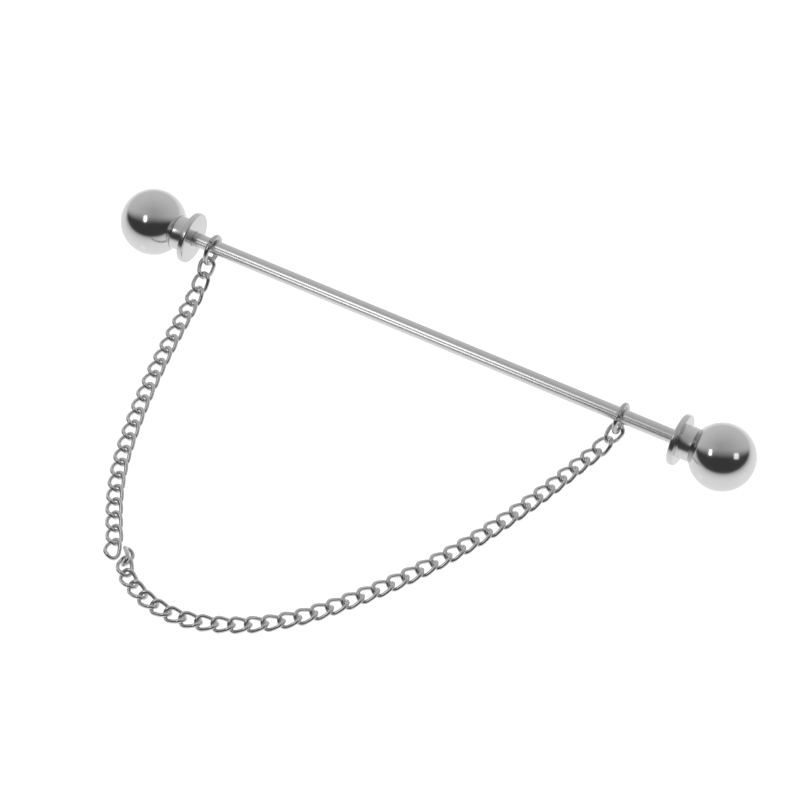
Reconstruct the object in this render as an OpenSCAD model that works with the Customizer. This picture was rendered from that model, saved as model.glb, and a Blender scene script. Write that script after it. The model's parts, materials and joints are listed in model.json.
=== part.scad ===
// Collar bar: a thin rod with a ball at each end, and a fine curb chain that hangs between two jump rings.
// Origin: middle of the bar, on its axis. +X runs along the bar to the end that unscrews, +Z is up.
// The bar lies on its two balls, and the chain lies beside it on the same surface.

/* [Bar] */
// Diameter of the bar
bar_d = 1.3; // [1.1:0.05:1.5]
// Distance between the centres of the two balls
ball_span = 57; // [54:0.5:60]
// Diameter of the thread at the right end of the bar
thread_d = 1; // [0.9:0.05:1.05]
// Length of the thread
thread_length = 2.6; // [2.2:0.1:2.8]

/* [Ball ends] */
// Diameter of each ball
ball_d = 6; // [5.6:0.1:6.6]
// Diameter of the neck between a ball and its flange
neck_d = 3.1; // [2.9:0.1:3.4]
// Diameter of each flange
flange_d = 4.7; // [4.2:0.1:5.2]
// Thickness of each flange
flange_thickness = 0.58; // [0.5:0.02:0.7]
// Distance from a ball's centre to the far face of its flange
flange_reach = 4.3; // [4.1:0.1:4.6]
// How deep the neck sits in the ball
neck_seat = 0.3; // [0.2:0.05:0.4]
// Rounding of the flange's rim
flange_edge = 0.12; // [0.05:0.01:0.2]
// Outer diameter of the tapped insert in the right end
insert_d = 2; // [1.8:0.05:2.1]

/* [Jump rings] */
// Inner diameter of each jump ring
ring_bore_d = 2.1; // [2:0.05:2.4]
// Wire diameter of each jump ring
ring_wire_d = 0.45; // [0.35:0.01:0.5]
// Width of the cut where the ring's wire meets itself
ring_cut = 0.06; // [0.03:0.01:0.1]
// Distance from the left flange to the centre of the left ring
left_ring_offset = 2; // [1:0.1:3]
// Distance from the right flange to the centre of the right ring
right_ring_offset = 5.4; // [4:0.1:6]
// Lean of the left ring from straight down, towards the chain
left_ring_lean = 50; // [40:1:55]
// Lean of the right ring from straight down, towards the chain
right_ring_lean = 18; // [5:1:20]

/* [Chain links] */
// Distance from one link to the next
link_pitch = 1.42; // [1.4:0.01:1.46]
// Outer width of a link
link_width = 1.6; // [1.55:0.01:1.7]
// Wire diameter of a link
link_wire_d = 0.38; // [0.34:0.01:0.4]
// Twist of a link from its middle to its end
link_twist = 42; // [39:1:45]
// Links from the left ring to the kink
left_count = 23; // [21:1:23]
// Links from the right ring to the kink, with the one that closes it
right_count = 38; // [37:1:38]

/* [Fits] */
// Radial clearance of a thread, a bore or a ring on what runs in it
running_gap = 0.05; // [0.03:0.005:0.08]
// Clearance between two links
link_gap = 0.05; // [0.03:0.005:0.06]
// Clearance between a ring's wire and the first link
hook_gap = 0.1; // [0.08:0.01:0.1]
// Clearance of the soldered seats
solder_gap = 0.03; // [0.01:0.005:0.05]

/* [Hidden] */
// Smoothness of the turned parts
turned_fn = 96;
wire_fn = 32;
// Rings round each bent end of a link, and sides of its wire
bend_rings = 8;
wire_sides = 8;

ball_x = ball_span/2;
flange_x = ball_x - flange_reach;
// Height of the surface that the balls and the chain lie on
table_z = -ball_d/2;

// The bar's plain part ends just inside the right flange
shoulder_x = flange_x + flange_thickness - 2*running_gap;
thread_end_x = shoulder_x + thread_length;
thread_chamfer = 0.1;
insert_start_x = flange_x + flange_thickness + running_gap;
insert_end_x = thread_end_x + running_gap;
// The fixed end of the bar stops this far inside the left ball
bar_seat = 2;
bar_start_x = -(ball_x - ball_d/2 + bar_seat);

// Distance from a ball's centre to the face that its neck sits on
neck_face = sqrt(pow(ball_d/2, 2) - pow(neck_d/2, 2)) - neck_seat;

ring_r = (ring_bore_d + ring_wire_d)/2;
// A ring hangs on the bar, so its centre lies off the bar's axis
ring_drop = ring_bore_d/2 - bar_d/2 - running_gap;
// Where the first link's walk starts, from the bar's axis
hook_r = ring_drop + ring_bore_d/2 + link_gap/2 - hook_gap;
left_ring_x = -flange_x + left_ring_offset;
right_ring_x = flange_x - right_ring_offset;

// Centreline of a link: two half circles joined by short straights, then twisted
bend_r = (link_width - link_wire_d)/2;
link_half = (link_pitch + link_gap + link_wire_d)/2;
bend_x = link_half - bend_r;

// Height of a lying link's centre over the surface
link_lie = link_wire_d/2 + max([for (p = link_centreline()) p.z]);
chain_z = table_z + link_lie;

// Heading of the links, in degrees, against the number of links from the ring.
// The left half's is counted from +X. The right half's is counted from a start that is worked out below.
left_headings = [[0, -86.5], [7, -82.5], [15, -74], [20, -59], [22, -57.5], [23, -85]];
right_bends = [[0.5, -7], [1.5, -14], [2.5, -9], [4, -6], [12, -14], [23, -29.5], [30, -60], [36, -113], [37, -152.5]];
// Share of the way down from the ring to the surface that each of the first links takes
left_fall = [0.5, 0.33, 0.17];
right_fall = [0.57, 0.43];
// Roll of each half's first links, which turns their ends across the ring's wire
left_rolls = [-26, -10];
right_rolls = [-39, -7];
// From the left half's end to the middle of the link that closes the kink, level
kink_step = [1.46, 0.36, 0];
// The link that closes the kink stands on edge. Its middle, counted from the end of the one before and
// along it, then its roll, its tilt and its turn from the one before
kink_offset = [0.076, -0.276, 0.375];
kink_angles = [81, 18.8, -14.3];

// Nodes of the chain. Along the nearly straight run of the left half two links share one.
left_singles = 4;
left_pairs = floor((left_count - left_singles - 1)/2);
left_groups = concat(
    [for (i = [1 : left_singles]) [i]],
    [for (i = [0 : left_pairs - 1]) [left_singles + 1 + 2*i, left_singles + 2 + 2*i]],
    [for (i = [left_singles + 2*left_pairs + 1 : left_count]) [i]]
);
right_groups = [for (i = [1 : right_count]) [i]];

function two_digits(n) = str(n < 10 ? "0" : "", n);
function group_name(side, group) = len(group) == 1
    ? str(side, "_link_", two_digits(group[0]))
    : str(side, "_links_", two_digits(group[0]), "_", two_digits(group[1]));

// Points of a link's centreline. The last step of each turn is the middle of the straight.
function flat_point(end, k) = k < bend_rings
    ? let (angle = -90 + 180*k/(bend_rings - 1) + 180*end)
        [(1 - 2*end)*bend_x + bend_r*cos(angle), bend_r*sin(angle)]
    : [0, (1 - 2*end)*bend_r];
function twist_at(x) = -link_twist*x/link_half;
function link_centreline() = [
    for (end = [0, 1]) for (k = [0 : bend_rings])
        let (p = flat_point(end, k), turn = twist_at(p.x)) [p.x, p.y*cos(turn), p.y*sin(turn)]
];

function unit(v) = v/norm(v);
// One round of wire at each point of the centreline, square to the way that the wire runs
function link_points(line = link_centreline()) = [
    for (i = [0 : len(line) - 1])
        let (
            along = unit(line[(i + 1) % len(line)] - line[(i + len(line) - 1) % len(line)]),
            turn = twist_at(line[i].x),
            up = [0, -sin(turn), cos(turn)],
            normal = unit(up - (up*along)*along),
            side = cross(along, normal)
        )
        for (j = [0 : wire_sides - 1])
            let (angle = 360*(j + 0.5)/wire_sides)
            line[i] + link_wire_d/2*(cos(angle)*normal + sin(angle)*side)
];
function link_faces(rounds = len(link_centreline())) = [
    for (i = [0 : rounds - 1]) for (j = [0 : wire_sides - 1])
        let (
            here = i*wire_sides,
            next = ((i + 1) % rounds)*wire_sides,
            k = (j + 1) % wire_sides
        )
        for (face = [[here + j, next + j, next + k], [here + j, next + k, here + k]]) face
];

// A half of the chain is walked from its ring. Each step is one link's pitch.
function link_step(heading, fall) =
    let (level = sqrt(link_pitch*link_pitch - fall*fall)) [level*cos(heading), level*sin(heading), -fall];
function falls(count, drop, shares) = [for (i = [0 : count - 1]) i < len(shares) ? drop*shares[i] : 0];
function steps(headings, drops) = [for (i = [0 : len(headings) - 1]) link_step(headings[i], drops[i])];
function total(vectors) = [for (v = vectors) 1]*vectors;
// Points where a half's links touch each other, from the ring's hook on
function contacts(start, walk) = [
    for (i = 0, at = start; i <= len(walk); at = at + (i < len(walk) ? walk[i] : [0, 0, 0]), i = i + 1) at
];
function hook(x, lean) = [x, -hook_r*sin(lean), -hook_r*cos(lean)];

left_hook = hook(left_ring_x, left_ring_lean);
left_falls = falls(left_count, left_hook.z - chain_z, left_fall);
left_turns = [for (i = [0 : left_count - 1]) lookup(i + 0.5, left_headings)];
left_contacts = contacts(left_hook, steps(left_turns, left_falls));

// The right half's bends are scaled until it reaches as far as the kink, and then it is turned to point at it
right_hook = hook(right_ring_x, right_ring_lean);
right_walked = right_count - 1;
right_falls = falls(right_walked, right_hook.z - chain_z, right_fall);
function turned(v, heading) = [
    v.x*cos(heading) - v.y*sin(heading),
    v.x*sin(heading) + v.y*cos(heading),
    v.z
];
function reach_for(heading) = left_contacts[left_count] + kink_step - turned(kink_offset, heading) - right_hook;
function bent(scale) = [for (i = [0 : right_walked - 1]) scale*lookup(i + 0.5, right_bends)];
function chord(scale) = total(steps(bent(scale), right_falls));
function level_length(v) = norm([v.x, v.y]);
function bend_to_reach(reach, low = 0.3, high = 1.7, passes = 30) =
    let (middle = (low + high)/2)
    passes == 0 ? middle
    : level_length(chord(middle)) > level_length(reach) ? bend_to_reach(reach, middle, high, passes - 1)
    : bend_to_reach(reach, low, middle, passes - 1);
function turned_to_reach(reach) =
    let (scale = bend_to_reach(reach), span = chord(scale))
    [for (turn = bent(scale)) atan2(reach.y, reach.x) - atan2(span.y, span.x) + turn];
// The last link's heading sets where the walk has to end, so the two are worked out in turns
function settled_turns(heading = -238, passes = 8) =
    let (turns = turned_to_reach(reach_for(heading)))
    passes == 0 ? turns : settled_turns(turns[right_walked - 1], passes - 1);
right_turns = settled_turns();
right_contacts = contacts(right_hook, steps(right_turns, right_falls));

// Where each link lies: its centre, then its roll, tilt down and heading
function poses_of(points, turns, drops, rolls) = [
    for (i = [0 : len(turns) - 1]) [
        (points[i] + points[i + 1])/2,
        [i < len(rolls) ? rolls[i] : 0, asin(drops[i]/link_pitch), turns[i]]
    ]
];
kink_heading = right_turns[right_walked - 1];
kink_pose = [
    right_contacts[right_walked] + turned(kink_offset, kink_heading),
    kink_angles + [0, 0, kink_heading]
];
left_poses = poses_of(left_contacts, left_turns, left_falls, left_rolls);
right_poses = concat(poses_of(right_contacts, right_turns, right_falls, right_rolls), [kink_pose]);

module along_x(x) {
    translate([x, 0, 0]) rotate([0, 90, 0]) children();
}

// Rod with a plain left end, a shoulder and a threaded right end
module bar() {
    color("silver") along_x(0) rotate_extrude($fn = turned_fn) polygon([
        [0, bar_start_x],
        [bar_d/2, bar_start_x],
        [bar_d/2, shoulder_x],
        [thread_d/2, shoulder_x],
        [thread_d/2, thread_end_x - thread_chamfer],
        [thread_d/2 - thread_chamfer, thread_end_x],
        [0, thread_end_x]
    ]);
}

// Ball at the origin with the seat for its neck on the -X side and a bore behind it
module ball(bore_d, bore_end) {
    difference() {
        rotate([0, 90, 0]) sphere(d = ball_d, $fn = turned_fn);
        along_x(-ball_d) cylinder(d = neck_d + 2*solder_gap, h = ball_d - neck_face, $fn = turned_fn);
        along_x(-ball_d) cylinder(d = bore_d, h = ball_d + bore_end, $fn = turned_fn);
    }
}

// Flange and neck as one turned piece, with the ball's centre at the origin and the flange on the -X side
module collar(inner_d, neck_bore_d) {
    flange_back = -flange_reach + flange_thickness;
    along_x(0) rotate_extrude($fn = turned_fn) polygon([
        [inner_d/2, -flange_reach],
        [flange_d/2 - flange_edge, -flange_reach],
        [flange_d/2, -flange_reach + flange_edge],
        [flange_d/2, flange_back - flange_edge],
        [flange_d/2 - flange_edge, flange_back],
        [neck_d/2, flange_back],
        [neck_d/2, -neck_face],
        [neck_bore_d/2, -neck_face],
        [neck_bore_d/2, flange_back],
        [inner_d/2, flange_back]
    ]);
}

module left_ball() {
    color("gainsboro") mirror([1, 0, 0]) translate([ball_x, 0, 0])
        ball(bar_d + 2*solder_gap, -bar_start_x - ball_x);
}

module left_collar() {
    color("gainsboro") mirror([1, 0, 0]) translate([ball_x, 0, 0])
        collar(bar_d + 2*solder_gap, bar_d + 4*solder_gap);
}

module right_ball() {
    color("gainsboro") translate([ball_x, 0, 0])
        ball(insert_d + 2*running_gap, insert_end_x + running_gap - ball_x);
}

module right_collar() {
    color("gainsboro") translate([ball_x, 0, 0])
        collar(bar_d + 2*running_gap, insert_d + 2*running_gap);
}

// Tapped bush that runs on the bar's thread
module right_insert() {
    color("goldenrod") difference() {
        along_x(insert_start_x) cylinder(d = insert_d, h = insert_end_x - insert_start_x, $fn = turned_fn);
        along_x(0) cylinder(d = thread_d + 2*running_gap, h = 2*ball_span, $fn = turned_fn);
    }
}

// Jump ring that hangs on the bar at x, leaning from straight down, with its cut on the far side
module jump_ring(x, lean) {
    color("silver") rotate([-lean, 0, 0]) translate([x, 0, -ring_drop]) difference() {
        rotate([0, 90, 0]) rotate_extrude($fn = turned_fn)
            translate([ring_r, 0]) circle(d = ring_wire_d, $fn = wire_fn);
        rotate([60, 0, 0]) translate([-ring_wire_d, -ring_cut/2, ring_bore_d/4])
            cube([2*ring_wire_d, ring_cut, ring_bore_d]);
    }
}

module left_ring() {
    jump_ring(left_ring_x, left_ring_lean);
}

module right_ring() {
    jump_ring(right_ring_x, right_ring_lean);
}

module link() {
    polyhedron(points = link_points(), faces = link_faces());
}

module links(poses, group) {
    color("darkgray") for (i = group) translate(poses[i - 1][0]) rotate(poses[i - 1][1]) link();
}

bar();
left_ball();
left_collar();
right_ball();
right_collar();
right_insert();
left_ring();
right_ring();
for (group = left_groups)
    links(left_poses, group);
for (group = right_groups)
    links(right_poses, group);
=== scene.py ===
# Collar bar with a ball at each end and a curb chain, dressed for rendering. Sizes are in metres.
import json
import math

import bmesh
import bpy
import numpy as np
from mathutils import Matrix, Vector


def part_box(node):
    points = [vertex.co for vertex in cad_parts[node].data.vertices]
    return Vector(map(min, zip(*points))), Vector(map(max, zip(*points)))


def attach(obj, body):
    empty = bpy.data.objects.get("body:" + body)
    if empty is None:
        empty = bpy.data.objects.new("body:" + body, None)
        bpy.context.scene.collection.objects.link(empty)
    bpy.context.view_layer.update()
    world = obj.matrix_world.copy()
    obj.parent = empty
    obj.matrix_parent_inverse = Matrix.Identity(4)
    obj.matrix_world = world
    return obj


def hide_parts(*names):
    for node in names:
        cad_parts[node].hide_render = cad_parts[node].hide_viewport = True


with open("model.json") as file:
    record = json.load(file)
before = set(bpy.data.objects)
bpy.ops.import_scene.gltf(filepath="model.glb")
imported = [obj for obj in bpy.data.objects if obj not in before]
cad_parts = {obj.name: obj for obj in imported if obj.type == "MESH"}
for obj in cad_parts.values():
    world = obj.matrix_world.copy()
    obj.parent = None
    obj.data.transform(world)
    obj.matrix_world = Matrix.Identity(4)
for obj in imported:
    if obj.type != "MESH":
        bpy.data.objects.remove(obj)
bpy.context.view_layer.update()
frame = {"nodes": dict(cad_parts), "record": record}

MM = 0.001

# Bar
BAR_R = 0.65 * MM
SHOULDER_CHAMFER = 0.06 * MM
THREAD_R = 0.5 * MM
THREAD_PITCH = 0.25 * MM
THREAD_DEPTH = 0.13 * MM
THREAD_LENGTH = 2.6 * MM
THREAD_SIDES = 48
THREAD_ROUNDS_A_TURN = 12

# Ball ends
BALL_R = 3.0 * MM
BALL_STEPS = 72
NECK_R = 1.55 * MM
NECK_SEAT = 0.3 * MM
FLANGE_R = 2.35 * MM
FLANGE_THICKNESS = 0.58 * MM
FLANGE_REACH = 4.3 * MM
FLANGE_EDGE = 0.16 * MM
FLANGE_FILLET = 0.14 * MM
BEAD = 0.06 * MM
BEAD_GAP = 0.005 * MM
BEAD_STEPS = 6
SEAT_GAP = 0.03 * MM
RUNNING_GAP = 0.05 * MM
INSERT_R = 1.0 * MM

# Jump rings. Each leans so many degrees from straight down towards the chain, and its cut is that much
# less than RING_CUT_TURN from straight up, on the chain's side.
RING_BORE_R = 1.05 * MM
RING_WIRE_R = 0.225 * MM
RING_CUT = 0.06 * MM
RING_CUT_TURN = 60
RING_LEAN = {"left": 50, "right": 18}
RING_ROUNDING = 0.2
RING_ROUNDS = 120
RING_SIDES = 24

# Links, whose wire is a trace thinner than the frame's so that neighbours keep clear of each other
LINK_WIDTH = 1.6 * MM
LINK_HALF = 0.925 * MM
LINK_FRAME_WIRE_R = 0.19 * MM
LINK_WIRE_R = 0.186 * MM
LINK_TWIST = math.radians(-42)
LINK_ROUNDS = 56
LINK_SIDES = 16

# Plating: how far its gloss and its shade wander, and how fine and deep its wear is
GLOSS_RANGE = (0.8, 1.25)
SHADE_RANGE = (0.94, 1.04)
WEAR_DETAIL = 5
WEAR_STRENGTH = 0.02
WEAR_DEPTH = 0.01 * MM
CHROME = (0.68, 0.68, 0.68)
DULL_CHROME = (0.54, 0.54, 0.54)
BRASS = (0.70, 0.52, 0.26)

# Corners of a turned piece's rounds, and how near corners are one: in a new mesh, and in the frame's
TURNED_SIDES = 192
WELD = 1e-8
FRAME_WELD = 1e-7

# The object's two ends, the surface that it lies on, and which way is outwards
left_end, right_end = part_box("left_ball")[0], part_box("right_ball")[1]
TABLE_Z = left_end.z
BALL_X = {"left": left_end.x + BALL_R, "right": right_end.x - BALL_R}
OUTWARD = {"left": -1, "right": 1}


# Meshes

def new_piece(name, points, faces, material, body, replaced):
    """A smooth mesh piece that rides on a body and stands for a node of the frame."""
    mesh = bpy.data.meshes.new(name)
    mesh.from_pydata([tuple(p) for p in points], [], faces)
    work = bmesh.new()
    work.from_mesh(mesh)
    bmesh.ops.remove_doubles(work, verts=work.verts, dist=WELD)
    bmesh.ops.recalc_face_normals(work, faces=work.faces)
    work.to_mesh(mesh)
    work.free()
    mesh.polygons.foreach_set("use_smooth", [True] * len(mesh.polygons))
    mesh.materials.append(material)
    piece = bpy.data.objects.new(name, mesh)
    bpy.context.scene.collection.objects.link(piece)
    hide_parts(replaced)
    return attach(piece, body)


def body_of_node(node):
    """The body that a node of the frame rides."""
    bodies = frame["record"]["behaviour"]["bodies"]
    return next(body for body, nodes in bodies.items() if node in nodes)


def tube_faces(rounds, sides, closed=True):
    """Quads between the rounds of a tube, whose last round joins the first if it is closed."""
    faces = []
    for i in range(rounds if closed else rounds - 1):
        here, there = i * sides, (i + 1) % rounds * sides
        for j in range(sides):
            k = (j + 1) % sides
            faces.append((here + j, here + k, there + k, there + j))
    return faces


def arc(x, r, radius, start, end, steps=8):
    """Points of an arc round (x, r) of a profile, from start to end in degrees, where 0 is along +x."""
    angles = [math.radians(start + (end - start) * i / steps) for i in range(steps + 1)]
    return [(x + radius * math.cos(a), r + radius * math.sin(a)) for a in angles]


def lathe(profile, closed, centre_x=0.0, way=1):
    """Points and faces of a profile of (x, radius) pairs turned round the bar's axis."""
    points = []
    for x, r in profile:
        for j in range(TURNED_SIDES):
            a = 2 * math.pi * j / TURNED_SIDES
            points.append((centre_x + way * x, r * math.cos(a), r * math.sin(a)))
    return points, tube_faces(len(profile), TURNED_SIDES, closed)


# The links

def link_line(u):
    """Point of a link's centreline at u, from 0 to 1 round it, and its twist there."""
    bend_r = LINK_WIDTH / 2 - LINK_FRAME_WIRE_R
    bend_x = LINK_HALF - bend_r
    straight, turn = 2 * bend_x, math.pi * bend_r
    s = u % 1 * 2 * (straight + turn)
    end = 1 if s < straight + turn else -1
    s = s % (straight + turn)
    if s < turn:
        a = s / bend_r - math.pi / 2
        x, y = bend_x + bend_r * math.cos(a), bend_r * math.sin(a)
    else:
        x, y = bend_x - (s - turn), bend_r
    x, y = end * x, end * y
    twist = LINK_TWIST * x / LINK_HALF
    return np.array((x, y * math.cos(twist), y * math.sin(twist))), twist


def link_points():
    """Points of a link's round wire, one round after another."""
    step = 1e-3
    points = []
    for i in range(LINK_ROUNDS):
        u = i / LINK_ROUNDS
        centre, twist = link_line(u)
        along = link_line(u + step)[0] - link_line(u - step)[0]
        along /= np.linalg.norm(along)
        up = np.array((0, -math.sin(twist), math.cos(twist)))
        normal = up - (up @ along) * along
        normal /= np.linalg.norm(normal)
        side = np.cross(along, normal)
        for j in range(LINK_SIDES):
            a = 2 * math.pi * (j + 0.5) / LINK_SIDES
            points.append(centre + LINK_WIRE_R * (math.cos(a) * normal + math.sin(a) * side))
    return points


def solids_of(node):
    """The separate solids of a node, each as an array of its corners."""
    work = bmesh.new()
    work.from_mesh(frame["nodes"][node].data)
    bmesh.ops.remove_doubles(work, verts=work.verts, dist=FRAME_WELD)
    seen, found = set(), []
    for start in work.verts:
        if start in seen:
            continue
        seen.add(start)
        corners, front = [], [start]
        while front:
            vertex = front.pop()
            corners.append(tuple(vertex.co))
            for edge in vertex.link_edges:
                other = edge.other_vert(vertex)
                if other not in seen:
                    seen.add(other)
                    front.append(other)
        found.append(np.array(corners))
    work.free()
    return found


def pose_of(corners):
    """Centre and axes of a link, which looks the same after half a turn about any of its axes."""
    centre = corners.mean(0)
    axes = np.linalg.eigh(np.cov((corners - centre).T))[1]
    long_axis, wide_axis = axes[:, 2], axes[:, 1]
    return centre, np.array((long_axis, wide_axis, np.cross(long_axis, wide_axis)))


def make_links(material):
    """One finely bent link for each link of the chain, on the body of its node.

    A node is named for one link or for two, such as left_link_04 or left_links_05_06. Its solids are
    numbered from the bar outwards.
    """
    shape = np.array(link_points())
    faces = tube_faces(LINK_ROUNDS, LINK_SIDES)
    for node in sorted(n for n in frame["nodes"] if "_link" in n):
        side, numbers = node.split("_link")
        solids = sorted(solids_of(node), key=lambda corners: -corners[:, 1].mean())
        for number, corners in zip(numbers.strip("s_").split("_"), solids):
            centre, axes = pose_of(corners)
            points = shape @ axes + centre
            body = body_of_node(node)
            new_piece(f"{side}_curb_link_{number}", points, faces, material, body, node)


# The bar and its ends

def make_bar(material):
    """The rod, plain up to its shoulder, and a cut thread on the stub beyond it.

    The rounds just inside the chamfers keep the smooth shading of the long faces between them even.
    """
    low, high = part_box("bar")
    shoulder = high.x - THREAD_LENGTH
    chamfer = SHOULDER_CHAMFER
    rod = [(low.x, 0.0), (low.x, BAR_R - chamfer)]
    rod += [(low.x + chamfer, BAR_R), (low.x + 2 * chamfer, BAR_R)]
    rod += [(shoulder - 2 * chamfer, BAR_R), (shoulder - chamfer, BAR_R)]
    rod += [(shoulder, BAR_R - chamfer), (shoulder, THREAD_R), (shoulder, THREAD_R - THREAD_DEPTH)]
    points, faces = lathe(rod, closed=False)
    first = len(points)
    rows = round(THREAD_LENGTH / THREAD_PITCH * THREAD_ROUNDS_A_TURN)
    for i in range(rows + 1):
        x = shoulder + THREAD_LENGTH * i / rows
        lead_in = min(1.0, (rows - i) / THREAD_ROUNDS_A_TURN)
        for j in range(THREAD_SIDES):
            turn = j / THREAD_SIDES
            phase = (x / THREAD_PITCH - turn) % 1
            height = 1 - abs(2 * phase - 1)
            r = THREAD_R - THREAD_DEPTH * (1 - height * lead_in)
            points.append((x, r * math.cos(2 * math.pi * turn), r * math.sin(2 * math.pi * turn)))
    thread_faces = tube_faces(rows + 1, THREAD_SIDES, closed=False)
    faces += [tuple(first + k for k in face) for face in thread_faces]
    tip = len(points)
    last = tip - THREAD_SIDES
    points.append((high.x, 0, 0))
    faces += [(last + j, last + (j + 1) % THREAD_SIDES, tip) for j in range(THREAD_SIDES)]
    return new_piece("bar_rod", points, faces, material, "root", "bar")


def sphere_x(sphere_r, r):
    """Where a sphere's half that faces the middle of the bar is r from the axis. Its centre is at 0."""
    return -math.sqrt(sphere_r**2 - r**2)


def make_ball(side, material, bore_r, bore_end_x):
    """A ball whose seat and blind bore face the middle of the bar. Profile x runs outwards."""
    node = side + "_ball"
    seat_r = NECK_R + SEAT_GAP
    seat_angle = math.degrees(math.acos(sphere_x(BALL_R, seat_r) / BALL_R))
    seat_x = sphere_x(BALL_R, NECK_R) + NECK_SEAT
    bore_end = OUTWARD[side] * (bore_end_x - BALL_X[side])
    profile = arc(0, 0, BALL_R, 0, seat_angle, BALL_STEPS)
    profile += [(seat_x, seat_r), (seat_x, bore_r), (bore_end, bore_r), (bore_end, 0.0)]
    points, faces = lathe(profile, closed=False, centre_x=BALL_X[side], way=OUTWARD[side])
    name = side + "_polished_ball"
    return new_piece(name, points, faces, material, body_of_node(node), node)


def bead_profile():
    """Hollow curve from the neck out to the ball, and back down just clear of the ball's surface."""
    foot_x = sphere_x(BALL_R + BEAD_GAP, NECK_R)
    tip_x = sphere_x(BALL_R + BEAD_GAP, NECK_R + BEAD)
    start_x = foot_x - BEAD
    curve = []
    for i in range(BEAD_STEPS + 1):
        t = i / BEAD_STEPS
        height = 1 - math.sin(math.pi / 2 * (1 - t))
        curve.append((start_x + (tip_x - start_x) * t, NECK_R + BEAD * height))
    return curve + [(foot_x, NECK_R)]


def make_collar(side, material, mouth_r, bore_r):
    """Neck and flange turned in one, with a rounded rim and a bead of solder round the neck's foot."""
    node = side + "_collar"
    face_x = -FLANGE_REACH
    back_x = face_x + FLANGE_THICKNESS
    neck_x = sphere_x(BALL_R, NECK_R) + NECK_SEAT
    rim_r = FLANGE_R - FLANGE_EDGE
    profile = [(face_x, mouth_r + SEAT_GAP), (face_x, mouth_r + 3 * SEAT_GAP)]
    profile += arc(face_x + FLANGE_EDGE, rim_r, FLANGE_EDGE, 180, 90)
    profile += arc(back_x - FLANGE_EDGE, rim_r, FLANGE_EDGE, 90, 0)
    profile += arc(back_x + FLANGE_FILLET, NECK_R + FLANGE_FILLET, FLANGE_FILLET, 180, 270)
    profile += bead_profile()
    profile += [(neck_x, NECK_R), (neck_x, bore_r), (back_x, bore_r), (back_x, mouth_r)]
    profile += [(face_x + SEAT_GAP, mouth_r)]
    points, faces = lathe(profile, closed=True, centre_x=BALL_X[side], way=OUTWARD[side])
    name = side + "_flanged_neck"
    return new_piece(name, points, faces, material, body_of_node(node), node)


def make_insert(material):
    """The tapped bush, with chamfers at its mouths."""
    low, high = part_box("right_insert")
    bore_r = THREAD_R + RUNNING_GAP
    chamfer = 2 * RUNNING_GAP
    profile = [(low.x, bore_r + chamfer), (low.x, INSERT_R - chamfer), (low.x + chamfer, INSERT_R)]
    profile += [(high.x - chamfer, INSERT_R), (high.x, INSERT_R - chamfer), (high.x, bore_r + chamfer)]
    profile += [(high.x - chamfer, bore_r), (low.x + chamfer, bore_r)]
    points, faces = lathe(profile, closed=True)
    new_piece("tapped_bush", points, faces, material, "right_insert", "right_insert")


def make_ring(side, material):
    """A jump ring of round wire with a narrow cut between its two rounded ends."""
    node = side + "_ring"
    low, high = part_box(node)
    centre = (low + high) / 2
    ring_r = RING_BORE_R + RING_WIRE_R
    cut_at = math.radians(RING_CUT_TURN - RING_LEAN[side])
    half_gap = RING_CUT / 2 / ring_r
    across, out = Vector((1, 0, 0)), Vector((0, -math.sin(cut_at), math.cos(cut_at)))
    last = RING_ROUNDS - 1
    points = []
    for i in range(RING_ROUNDS):
        a = half_gap + (2 * math.pi - 2 * half_gap) * i / last
        spoke = Matrix.Rotation(a, 3, "X") @ out
        shrink = 1 - RING_ROUNDING if i in (0, last) else 1
        for j in range(RING_SIDES):
            b = 2 * math.pi * j / RING_SIDES
            offset = shrink * RING_WIRE_R * (math.cos(b) * spoke + math.sin(b) * across)
            points.append(centre + ring_r * spoke + offset)
    faces = tube_faces(RING_ROUNDS, RING_SIDES, closed=False)
    faces.append(tuple(range(RING_SIDES)))
    faces.append(tuple(range(last * RING_SIDES, RING_ROUNDS * RING_SIDES)))
    new_piece(side + "_jump_ring", points, faces, material, node, node)


# Materials

def chrome(name, shade, roughness, marks, grain=1.0):
    """Polished metal with a faintly uneven gloss and fine wear, of so many marks to a millimetre."""
    material = bpy.data.materials.new(name)
    material.use_nodes = True
    nodes, links = material.node_tree.nodes, material.node_tree.links
    shader = nodes["Principled BSDF"]
    shader.inputs["Metallic"].default_value = 1.0
    place = nodes.new("ShaderNodeTexCoord")
    gloss = nodes.new("ShaderNodeTexNoise")
    gloss.inputs["Scale"].default_value = marks / MM
    gloss.inputs["Detail"].default_value = WEAR_DETAIL
    links.new(place.outputs["Object"], gloss.inputs["Vector"])
    spread = nodes.new("ShaderNodeMapRange")
    spread.inputs["To Min"].default_value = roughness * GLOSS_RANGE[0]
    spread.inputs["To Max"].default_value = roughness * GLOSS_RANGE[1]
    links.new(gloss.outputs["Fac"], spread.inputs["Value"])
    links.new(spread.outputs["Result"], shader.inputs["Roughness"])
    tint = nodes.new("ShaderNodeValToRGB")
    for stop, level in zip(tint.color_ramp.elements, SHADE_RANGE):
        stop.color = [c * level for c in shade] + [1]
    links.new(gloss.outputs["Fac"], tint.inputs["Fac"])
    links.new(tint.outputs["Color"], shader.inputs["Base Color"])
    bump = nodes.new("ShaderNodeBump")
    bump.inputs["Strength"].default_value = WEAR_STRENGTH * grain
    bump.inputs["Distance"].default_value = WEAR_DEPTH
    links.new(gloss.outputs["Fac"], bump.inputs["Height"])
    links.new(bump.outputs["Normal"], shader.inputs["Normal"])
    return material


# Surroundings.

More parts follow.
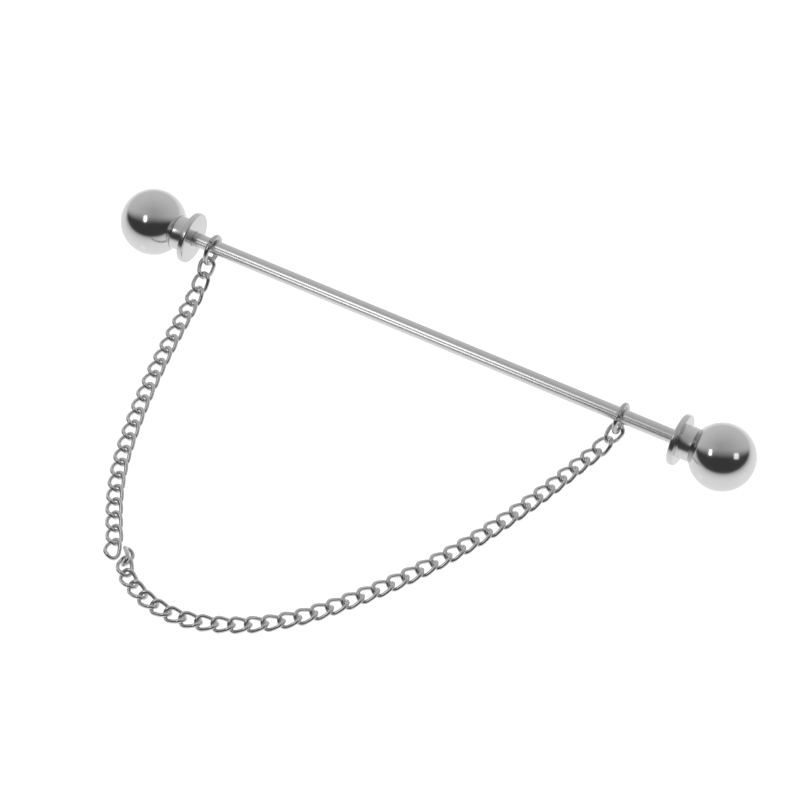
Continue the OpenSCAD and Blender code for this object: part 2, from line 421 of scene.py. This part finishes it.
CAMERA_AZIMUTH, CAMERA_ELEVATION, CAMERA_ROLL = 30.15, 53.37, -2.19
CAMERA_DISTANCE = 343.7 * MM
CAMERA_TARGET = Vector((-0.22, -5.49, -3.0)) * MM
CAMERA_FOCAL_PX = 3889
CAMERA_NEAR, CAMERA_FAR = 10 * MM, 10000 * MM
PICTURE_PX = 800

# The tent, its brightness, and the opening in its wall. The opening's middle and half width are cosines
# of the angle from its azimuth and tilt: how much each grows with height, and what it is at the floor.
TENT_R = 220 * MM
TENT_SEGMENTS = 96
CEILING = 0.43
WALL_GAIN = 0.27
OPENING_LEVEL = 0.05
OPENING_AZIMUTH, OPENING_TILT = CAMERA_AZIMUTH - 10, -30
OPENING_MIDDLE = (0.29, -0.27)
OPENING_HALF = (0.30, 0.12)

# What everything but the camera sees beyond the tent
WORLD_LEVEL = 0.5

# The floor is a disc inside the tent
FLOOR_R = 218 * MM
FLOOR_SIDES = 256
FLOOR_GLOW = 0.8
FLOOR_ROUGHNESS = 0.1
FLOOR_IOR = 1.5

# Lamps that glint on the balls, in millimetres: place, width, height and level
WINDOWS = (
    ("window_left", (-51, -81, 115), 22, 46, 4),
    ("window_right", (149, -3, 92), 44, 46, 1.1),
)

# Lamps for the rod, in millimetres: lean from overhead in degrees, middle along the bar, width, length
# and level
PANES = (
    ("pane_high", 27, -51, 42, 54, 2.4),
    ("pane_low", 68.7, -51, 42, 54, 2.6),
    ("pane_fill", 47, -20, 110, 300, 0.15),
)
PANE_DISTANCE = 141


def direction(azimuth, elevation):
    """Unit vector from the object towards an azimuth and elevation."""
    a, e = math.radians(azimuth), math.radians(elevation)
    return Vector((math.sin(a) * math.cos(e), -math.cos(a) * math.cos(e), math.sin(e)))


def make_camera():
    """The camera, fitted to the object's outlines in its picture."""
    data = bpy.data.cameras.new("camera")
    data.lens = data.sensor_width * CAMERA_FOCAL_PX / PICTURE_PX
    data.clip_start, data.clip_end = CAMERA_NEAR, CAMERA_FAR
    camera = bpy.data.objects.new("camera", data)
    bpy.context.scene.collection.objects.link(camera)
    bpy.context.scene.camera = camera
    back = direction(CAMERA_AZIMUTH, CAMERA_ELEVATION)
    level = back.to_track_quat("Z", "Y").to_matrix()
    turn = Matrix.Rotation(math.radians(CAMERA_ROLL), 3, back) @ level
    camera.matrix_world = Matrix.Translation(CAMERA_TARGET + CAMERA_DISTANCE * back) @ turn.to_4x4()


def math_node(tree, operation, *values):
    """A Math node of numbers and sockets."""
    node = tree.nodes.new("ShaderNodeMath")
    node.operation = operation
    for socket, value in zip(node.inputs, values):
        if isinstance(value, (int, float)):
            socket.default_value = value
        else:
            tree.links.new(value, socket)
    return node.outputs[0]


def dot_node(tree, vector, fixed):
    """How far a vector reaches along a fixed one."""
    node = tree.nodes.new("ShaderNodeVectorMath")
    node.operation = "DOT_PRODUCT"
    tree.links.new(vector, node.inputs[0])
    node.inputs[1].default_value = fixed
    return node.outputs["Value"]


def mix_shaders(tree, factor, first, second):
    """The first shader where the factor is 0, and the second where it is 1."""
    node = tree.nodes.new("ShaderNodeMixShader")
    for socket, source in zip(node.inputs, (factor, first, second)):
        tree.links.new(source, socket)
    return node.outputs[0]


def stage_material(name):
    """A material with nothing but its output node, and its node tree."""
    material = bpy.data.materials.new(name)
    material.use_nodes = True
    material.node_tree.nodes.remove(material.node_tree.nodes["Principled BSDF"])
    material.cycles.emission_sampling = "NONE"
    return material, material.node_tree


def make_tent():
    """A pale light tent round the object, open and dark on the side that the camera looks in from."""
    bpy.ops.mesh.primitive_uv_sphere_add(
        segments=TENT_SEGMENTS, ring_count=TENT_SEGMENTS // 2, radius=TENT_R, location=(0, 0, 0))
    tent = bpy.context.object
    tent.name = "tent"
    tent.visible_camera = False
    material, tree = stage_material("tent_cloth")
    place = tree.nodes.new("ShaderNodeNewGeometry")
    unit = tree.nodes.new("ShaderNodeVectorMath")
    unit.operation = "NORMALIZE"
    tree.links.new(place.outputs["Position"], unit.inputs[0])
    way = unit.outputs["Vector"]
    up = math_node(tree, "MAXIMUM", dot_node(tree, way, (0, 0, 1)), 0.0)
    up_squared = math_node(tree, "MULTIPLY", up, up)
    level = math_node(tree, "SQRT", math_node(tree, "SUBTRACT", 1.0, up_squared))
    front = dot_node(tree, way, direction(CAMERA_AZIMUTH, 0))
    wall = math_node(tree, "MULTIPLY", math_node(tree, "SUBTRACT", level, front), WALL_GAIN / 2)
    cloth = math_node(tree, "ADD", wall, CEILING)
    into = dot_node(tree, way, direction(OPENING_AZIMUTH, OPENING_TILT))
    middle = math_node(tree, "MULTIPLY_ADD", up, *OPENING_MIDDLE)
    half = math_node(tree, "MULTIPLY_ADD", up, *OPENING_HALF)
    opening = tree.nodes.new("ShaderNodeMapRange")
    opening.interpolation_type = "SMOOTHSTEP"
    tree.links.new(into, opening.inputs["Value"])
    tree.links.new(math_node(tree, "SUBTRACT", middle, half), opening.inputs["From Min"])
    tree.links.new(math_node(tree, "ADD", middle, half), opening.inputs["From Max"])
    shade = tree.nodes.new("ShaderNodeMix")
    tree.links.new(opening.outputs["Result"], shade.inputs["Factor"])
    tree.links.new(cloth, shade.inputs["A"])
    shade.inputs["B"].default_value = OPENING_LEVEL
    glow = tree.nodes.new("ShaderNodeEmission")
    tree.links.new(shade.outputs["Result"], glow.inputs["Strength"])
    tree.links.new(glow.outputs[0], tree.nodes["Material Output"].inputs["Surface"])
    tent.data.materials.append(material)


def make_floor():
    """A white glossy disc. The camera sees it a little overlit, so that only close shadows show."""
    bpy.ops.mesh.primitive_circle_add(
        vertices=FLOOR_SIDES, radius=FLOOR_R, fill_type="NGON", location=(0, 0, TABLE_Z))
    floor = bpy.context.object
    floor.name = "floor"
    material, tree = stage_material("floor_sheet")
    glow = tree.nodes.new("ShaderNodeEmission")
    mirror = tree.nodes.new("ShaderNodeBsdfGlossy")
    mirror.inputs["Roughness"].default_value = FLOOR_ROUGHNESS
    fresnel = tree.nodes.new("ShaderNodeFresnel")
    fresnel.inputs["IOR"].default_value = FLOOR_IOR
    sheet = mix_shaders(tree, fresnel.outputs[0], glow.outputs[0], mirror.outputs[0])
    base = tree.nodes.new("ShaderNodeEmission")
    base.inputs["Strength"].default_value = FLOOR_GLOW
    paper = tree.nodes.new("ShaderNodeBsdfDiffuse")
    overlit = tree.nodes.new("ShaderNodeAddShader")
    tree.links.new(base.outputs[0], overlit.inputs[0])
    tree.links.new(paper.outputs[0], overlit.inputs[1])
    ray = tree.nodes.new("ShaderNodeLightPath")
    seen = mix_shaders(tree, ray.outputs["Is Camera Ray"], sheet, overlit.outputs[0])
    tree.links.new(seen, tree.nodes["Material Output"].inputs["Surface"])
    floor.data.materials.append(material)


def make_lamp(name, centre, width, height, level, upright, aim=(0, 0, 0)):
    """A soft rectangular lamp that faces its aim. Its level is its face's brightness, where 1 is white.

    Places and sizes are in millimetres. Its height runs along upright, as near as its aim lets it.
    """
    data = bpy.data.lights.new(name, "AREA")
    data.shape = "RECTANGLE"
    data.size, data.size_y = width * MM, height * MM
    data.energy = level * math.pi * data.size * data.size_y
    lamp = bpy.data.objects.new(name, data)
    bpy.context.scene.collection.objects.link(lamp)
    place = Vector(centre) * MM
    lamp.location = place
    away = (place - Vector(aim) * MM).normalized()
    across = Vector(upright).cross(away).normalized()
    turn = Matrix((across, away.cross(across), away)).transposed()
    lamp.rotation_mode = "QUATERNION"
    lamp.rotation_quaternion = turn.to_quaternion()
    lamp.visible_camera = False
    return lamp


def link_light(lamp, pieces, state):
    """Let a lamp light these pieces alone, with INCLUDE, or all but these, with EXCLUDE."""
    named = bpy.data.collections.new(lamp.name + "_pieces")
    for piece in pieces:
        named.objects.link(piece)
    for entry in named.collection_objects:
        entry.light_linking.link_state = state
    lamp.light_linking.receiver_collection = named


def make_lamps(rod, left_pieces):
    """Two windows that glint on the balls, and three panes that draw lines on the rod and fill it."""
    upright = bpy.context.scene.camera.matrix_world.col[1].xyz
    unlit = {"window_left": [rod], "window_right": left_pieces}
    for name, centre, width, height, level in WINDOWS:
        window = make_lamp(name, centre, width, height, level, upright)
        link_light(window, unlit[name], "EXCLUDE")
    for name, lean, middle, width, length, level in PANES:
        a = math.radians(lean)
        centre = (middle, -PANE_DISTANCE * math.sin(a), PANE_DISTANCE * math.cos(a))
        pane = make_lamp(name, centre, width, length, level, (1, 0, 0), (middle, 0, 0))
        link_light(pane, [rod], "INCLUDE")


def make_world():
    """White to the camera, and dimmer to everything else."""
    world = bpy.data.worlds.new("surroundings")
    world.use_nodes = True
    tree = world.node_tree
    ray = tree.nodes.new("ShaderNodeLightPath")
    by_camera = ray.outputs["Is Camera Ray"]
    strength = math_node(tree, "MULTIPLY_ADD", by_camera, 1 - WORLD_LEVEL, WORLD_LEVEL)
    tree.nodes["Background"].inputs["Color"].default_value = (1, 1, 1, 1)
    tree.links.new(strength, tree.nodes["Background"].inputs["Strength"])
    bpy.context.scene.world = world


def main():
    bpy.context.scene.view_settings.view_transform = "Standard"
    make_camera()
    make_world()
    make_tent()
    make_floor()

    ball = chrome("ball_chrome", CHROME, roughness=0.14, marks=0.6)
    collar = chrome("collar_chrome", CHROME, roughness=0.2, marks=1.5)
    rod = chrome("rod_chrome", CHROME, roughness=0.26, marks=2.0, grain=0.1)
    wire = chrome("ring_chrome", DULL_CHROME, roughness=0.2, marks=3.0)
    links = chrome("link_chrome", CHROME, roughness=0.26, marks=4.0)
    brass = chrome("bush_brass", BRASS, roughness=0.25, marks=3.0)

    bar_low, bar_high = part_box("bar")
    bar_rod = make_bar(rod)
    left_pieces = [make_ball("left", ball, BAR_R + SEAT_GAP, bar_low.x)]
    make_ball("right", ball, INSERT_R + RUNNING_GAP, bar_high.x + 2 * RUNNING_GAP)
    left_pieces.append(make_collar("left", collar, BAR_R + SEAT_GAP, BAR_R + 2 * SEAT_GAP))
    make_collar("right", collar, BAR_R + RUNNING_GAP, INSERT_R + RUNNING_GAP)
    make_insert(brass)
    make_ring("left", wire)
    make_ring("right", wire)
    make_links(links)
    make_lamps(bar_rod, left_pieces)


main()
